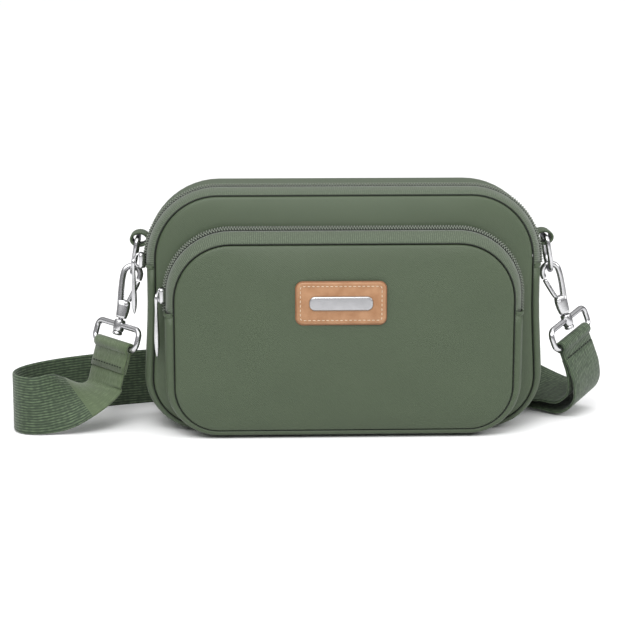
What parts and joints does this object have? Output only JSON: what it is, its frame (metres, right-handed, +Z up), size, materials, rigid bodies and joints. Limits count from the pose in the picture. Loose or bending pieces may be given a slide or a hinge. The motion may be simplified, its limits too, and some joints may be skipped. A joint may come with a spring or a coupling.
{
  "type": "crossbody purse",
  "caption": "Compact nylon crossbody purse with a zipped body and front pocket, leather patch, D-rings, swivel snap hooks and an adjustable webbing strap.",
  "frame": {"origin": "centre of the base, midway between the sides and between the front patch and the back panel, on the surface that the purse stands on", "axes": "+X to the right seen from the front, +Y towards the back panel, +Z up"},
  "size_m": [0.3333, 0.1113, 0.1346],
  "materials": {
    "nylon": "fine twill nylon, soft sheen",
    "zip_tape": "woven zip tape, matte",
    "zip_coil": "nylon coil",
    "webbing": "ribbed nylon webbing",
    "leather": "smooth tan leather",
    "steel": "polished nickel plate"
  },
  "bodies": {
    "bag": {"back_panel": "nylon", "front_panel": "nylon", "pocket_panel": "nylon", "main_lower_gusset": "nylon", "main_zip_tape_front": "zip_tape", "main_zip_teeth": "zip_coil", "main_zip_tape_back": "zip_tape", "main_top_gusset": "nylon", "pocket_lower_gusset": "nylon", "pocket_zip_tape_front": "zip_tape", "pocket_zip_teeth": "zip_coil", "pocket_zip_tape_back": "zip_tape", "leather_patch": "leather", "plain_metal_bar": "steel", "left_side_loop": "nylon", "right_side_loop": "nylon", "strap": "webbing", "strap_doubled_end": "webbing", "slide_adjuster": "steel", "left_strap_eye": "steel", "right_strap_eye": "steel", "left_strap_tab": "webbing", "right_strap_tab": "webbing"},
    "main_slider": {"main_zip_slider": "steel"},
    "main_puller": {"main_zip_puller": "steel"},
    "pocket_slider": {"pocket_zip_slider": "steel"},
    "pocket_puller": {"pocket_zip_puller": "steel"},
    "left_ring": {"left_d_ring": "steel"},
    "left_hook": {"left_snap_hook": "steel"},
    "left_gate": {"left_hook_gate": "steel"},
    "right_ring": {"right_d_ring": "steel"},
    "right_hook": {"right_snap_hook": "steel"},
    "right_gate": {"right_hook_gate": "steel"}
  },
  "joints": [
    {"name": "main_zip_travel", "type": "hinge", "parent": "bag", "child": "main_slider", "pos_m": [-0.07, -0.0041, 0.094], "axis": [0, 1, 0], "range_deg": [0, 90]},
    {"name": "main_puller_swing", "type": "hinge", "parent": "main_slider", "child": "main_puller", "pos_m": [-0.1152, -0.0041, 0.094], "axis": [0, 1, 0], "range_deg": [0, 170]},
    {"name": "pocket_zip_travel", "type": "hinge", "parent": "bag", "child": "pocket_slider", "pos_m": [-0.061, -0.0221, 0.0775], "axis": [0, 1, 0], "range_deg": [0, 90]},
    {"name": "pocket_puller_swing", "type": "hinge", "parent": "pocket_slider", "child": "pocket_puller", "pos_m": [-0.1022, -0.0221, 0.0775], "axis": [0, 1, 0], "range_deg": [0, 170]},
    {"name": "left_ring_swing", "type": "hinge", "parent": "bag", "child": "left_ring", "pos_m": [-0.11366, 0.0155, 0.1035], "axis": [0, 1, 0], "range_deg": [-1, 1]},
    {"name": "left_hook_swivel", "type": "hinge", "parent": "bag", "child": "left_hook", "pos_m": [-0.11705, 0.0155, 0.0843], "axis": [-0.25, -0.17, -0.9532], "range_deg": [-15, 15]},
    {"name": "left_gate_press", "type": "hinge", "parent": "left_hook", "child": "left_gate", "pos_m": [-0.11742, 0.01275, 0.06789], "axis": [0.0431, -0.9854, 0.1645], "range_deg": [0, 12], "stiffness_Nm_per_rad": 0.002},
    {"name": "right_ring_swing", "type": "hinge", "parent": "bag", "child": "right_ring", "pos_m": [0.11366, 0.0155, 0.1035], "axis": [0, 1, 0], "range_deg": [-1, 1]},
    {"name": "right_hook_swivel", "type": "hinge", "parent": "bag", "child": "right_hook", "pos_m": [0.11705, 0.0155, 0.0843], "axis": [0.3419, 0, -0.9397], "range_deg": [-15, 15]},
    {"name": "right_gate_press", "type": "hinge", "parent": "right_hook", "child": "right_gate", "pos_m": [0.11901, 0.0155, 0.06777], "axis": [0, 1, 0], "range_deg": [0, 12], "stiffness_Nm_per_rad": 0.002}
  ]
}
